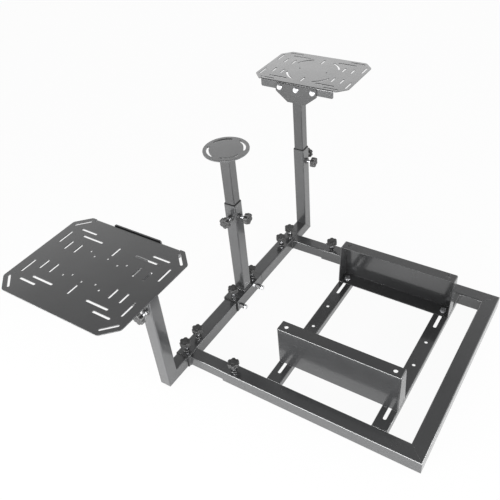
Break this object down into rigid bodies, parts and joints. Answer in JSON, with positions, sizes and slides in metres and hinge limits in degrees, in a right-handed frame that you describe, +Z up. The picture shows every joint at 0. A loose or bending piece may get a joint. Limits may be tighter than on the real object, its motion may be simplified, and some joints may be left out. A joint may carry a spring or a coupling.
{
  "type": "racing and flight cockpit stand with two control trays",
  "caption": "Tube-frame cockpit stand with a sliding front bar, two side arms that carry slotted control trays, a middle post with a round plate, and raised rails for a seat.",
  "frame": {"origin": "on the floor, under the middle of the front crossbar", "axes": "+X to the driver's left, +Y back towards the seat, +Z up"},
  "size_m": [1.496, 1.053, 0.672],
  "materials": {
    "rear_tube": "satin graphite powder coat",
    "left_rail": "satin graphite powder coat",
    "right_rail": "satin graphite powder coat",
    "rail_nuts": "satin graphite powder coat",
    "front_member": "satin graphite powder coat",
    "rear_member": "satin graphite powder coat",
    "left_riser": "satin graphite powder coat",
    "right_riser": "satin graphite powder coat",
    "riser_bolts": "bright zinc plate",
    "crossbar": "satin graphite powder coat",
    "crossbar_nuts": "satin graphite powder coat",
    "left_stub": "satin graphite powder coat",
    "right_stub": "satin graphite powder coat",
    "left_arm_foot": "satin graphite powder coat",
    "left_arm_upright": "satin graphite powder coat",
    "right_arm_foot": "satin graphite powder coat",
    "right_arm_upright": "satin graphite powder coat",
    "left_mast": "satin graphite powder coat",
    "left_gusset": "satin graphite powder coat",
    "left_tray": "satin graphite powder coat",
    "left_tray_bolts": "bright zinc plate",
    "right_mast": "satin graphite powder coat",
    "right_gusset": "satin graphite powder coat",
    "right_tray": "satin graphite powder coat",
    "right_tray_bolts": "bright zinc plate",
    "post_saddle": "satin graphite powder coat",
    "saddle_bolts": "bright zinc plate",
    "middle_post": "satin graphite powder coat",
    "middle_mast": "satin graphite powder coat",
    "round_plate": "satin graphite powder coat",
    "left_rail_knob": "moulded black plastic on a zinc stud",
    "left_inner_crossbar_knob": "moulded black plastic on a zinc stud",
    "left_outer_crossbar_knob": "moulded black plastic on a zinc stud",
    "left_arm_outer_knob": "moulded black plastic on a zinc stud",
    "left_arm_cross_knob": "moulded black plastic on a zinc stud",
    "left_saddle_knob": "moulded black plastic on a zinc stud",
    "right_rail_knob": "moulded black plastic on a zinc stud",
    "right_inner_crossbar_knob": "moulded black plastic on a zinc stud",
    "right_outer_crossbar_knob": "moulded black plastic on a zinc stud",
    "right_arm_outer_knob": "moulded black plastic on a zinc stud",
    "right_arm_cross_knob": "moulded black plastic on a zinc stud",
    "right_saddle_knob": "moulded black plastic on a zinc stud",
    "post_side_knob": "moulded black plastic on a zinc stud",
    "post_rear_knob": "moulded black plastic on a zinc stud"
  },
  "bodies": {
    "floor_frame": {"rear_tube": "rear_tube", "left_rail": "left_rail", "right_rail": "right_rail", "rail_nuts": "rail_nuts", "front_member": "front_member", "rear_member": "rear_member", "left_riser": "left_riser", "right_riser": "right_riser", "riser_bolts": "riser_bolts"},
    "front_beam": {"crossbar": "crossbar", "crossbar_nuts": "crossbar_nuts", "left_stub": "left_stub", "right_stub": "right_stub"},
    "left_arm": {"left_arm_foot": "left_arm_foot", "left_arm_upright": "left_arm_upright"},
    "right_arm": {"right_arm_foot": "right_arm_foot", "right_arm_upright": "right_arm_upright"},
    "left_tray_mast": {"left_mast": "left_mast", "left_gusset": "left_gusset", "left_tray": "left_tray", "left_tray_bolts": "left_tray_bolts"},
    "right_tray_mast": {"right_mast": "right_mast", "right_gusset": "right_gusset", "right_tray": "right_tray", "right_tray_bolts": "right_tray_bolts"},
    "post_carriage": {"post_saddle": "post_saddle", "saddle_bolts": "saddle_bolts", "middle_post": "middle_post"},
    "plate_mast": {"middle_mast": "middle_mast", "round_plate": "round_plate"},
    "left_rail_knob_body": {"left_rail_knob": "left_rail_knob"},
    "left_inner_crossbar_knob_body": {"left_inner_crossbar_knob": "left_inner_crossbar_knob"},
    "left_outer_crossbar_knob_body": {"left_outer_crossbar_knob": "left_outer_crossbar_knob"},
    "left_arm_outer_knob_body": {"left_arm_outer_knob": "left_arm_outer_knob"},
    "left_arm_cross_knob_body": {"left_arm_cross_knob": "left_arm_cross_knob"},
    "left_saddle_knob_body": {"left_saddle_knob": "left_saddle_knob"},
    "right_rail_knob_body": {"right_rail_knob": "right_rail_knob"},
    "right_inner_crossbar_knob_body": {"right_inner_crossbar_knob": "right_inner_crossbar_knob"},
    "right_outer_crossbar_knob_body": {"right_outer_crossbar_knob": "right_outer_crossbar_knob"},
    "right_arm_outer_knob_body": {"right_arm_outer_knob": "right_arm_outer_knob"},
    "right_arm_cross_knob_body": {"right_arm_cross_knob": "right_arm_cross_knob"},
    "right_saddle_knob_body": {"right_saddle_knob": "right_saddle_knob"},
    "post_side_knob_body": {"post_side_knob": "post_side_knob"},
    "post_rear_knob_body": {"post_rear_knob": "post_rear_knob"}
  },
  "joints": [
    {"name": "beam_slide", "type": "slide", "parent": "floor_frame", "child": "front_beam", "axis": [0, -1, 0], "range_m": [-0.12, 0.1]},
    {"name": "left_arm_slide", "type": "slide", "parent": "front_beam", "child": "left_arm", "axis": [1, 0, 0], "range_m": [-0.05, 0.08]},
    {"name": "right_arm_slide", "type": "slide", "parent": "front_beam", "child": "right_arm", "axis": [-1, 0, 0], "range_m": [-0.06, 0.07]},
    {"name": "left_mast_slide", "type": "slide", "parent": "left_arm", "child": "left_tray_mast", "axis": [0, 0, 1], "range_m": [-0.138, 0.11]},
    {"name": "right_mast_slide", "type": "slide", "parent": "right_arm", "child": "right_tray_mast", "axis": [0, 0, 1], "range_m": [-0.19, 0.06]},
    {"name": "post_slide", "type": "slide", "parent": "front_beam", "child": "post_carriage", "axis": [1, 0, 0], "range_m": [-0.15, 0.15]},
    {"name": "plate_slide", "type": "slide", "parent": "post_carriage", "child": "plate_mast", "axis": [0, 0, 1], "range_m": [-0.19, 0.055]},
    {"name": "left_rail_knob_turn", "type": "hinge", "parent": "floor_frame", "child": "left_rail_knob_body", "pos_m": [0.353, 0.196, 0.05], "axis": [0, 0, 1], "continuous": true},
    {"name": "left_inner_crossbar_knob_turn", "type": "hinge", "parent": "front_beam", "child": "left_inner_crossbar_knob_body", "pos_m": [0.286, 0, 0.05], "axis": [0, 0, 1], "continuous": true},
    {"name": "left_outer_crossbar_knob_turn", "type": "hinge", "parent": "front_beam", "child": "left_outer_crossbar_knob_body", "pos_m": [0.356, 0, 0.05], "axis": [0, 0, 1], "continuous": true},
    {"name": "left_arm_outer_knob_turn", "type": "hinge", "parent": "left_arm", "child": "left_arm_outer_knob_body", "pos_m": [0.485, 0, 0.348], "axis": [1, 0, 0], "continuous": true},
    {"name": "left_arm_cross_knob_turn", "type": "hinge", "parent": "left_arm", "child": "left_arm_cross_knob_body", "pos_m": [0.463, -0.022, 0.348], "axis": [0, -1, 0], "continuous": true},
    {"name": "left_saddle_knob_turn", "type": "hinge", "parent": "post_carriage", "child": "left_saddle_knob_body", "pos_m": [0.062, 0, 0.0545], "axis": [0, 0, 1], "continuous": true},
    {"name": "right_rail_knob_turn", "type": "hinge", "parent": "floor_frame", "child": "right_rail_knob_body", "pos_m": [-0.353, 0.196, 0.05], "axis": [0, 0, 1], "continuous": true},
    {"name": "right_inner_crossbar_knob_turn", "type": "hinge", "parent": "front_beam", "child": "right_inner_crossbar_knob_body", "pos_m": [-0.286, 0, 0.05], "axis": [0, 0, 1], "continuous": true},
    {"name": "right_outer_crossbar_knob_turn", "type": "hinge", "parent": "front_beam", "child": "right_outer_crossbar_knob_body", "pos_m": [-0.356, 0, 0.05], "axis": [0, 0, 1], "continuous": true},
    {"name": "right_arm_outer_knob_turn", "type": "hinge", "parent": "right_arm", "child": "right_arm_outer_knob_body", "pos_m": [-0.495, 0, 0.348], "axis": [-1, 0, 0], "continuous": true},
    {"name": "right_arm_cross_knob_turn", "type": "hinge", "parent": "right_arm", "child": "right_arm_cross_knob_body", "pos_m": [-0.473, 0.022, 0.348], "axis": [0, 1, 0], "continuous": true},
    {"name": "right_saddle_knob_turn", "type": "hinge", "parent": "post_carriage", "child": "right_saddle_knob_body", "pos_m": [-0.062, 0, 0.0545], "axis": [0, 0, 1], "continuous": true},
    {"name": "post_side_knob_turn", "type": "hinge", "parent": "post_carriage", "child": "post_side_knob_body", "pos_m": [0.022, 0, 0.389], "axis": [1, 0, 0], "continuous": true},
    {"name": "post_rear_knob_turn", "type": "hinge", "parent": "post_carriage", "child": "post_rear_knob_body", "pos_m": [0, 0.022, 0.389], "axis": [0, 1, 0], "continuous": true}
  ]
}
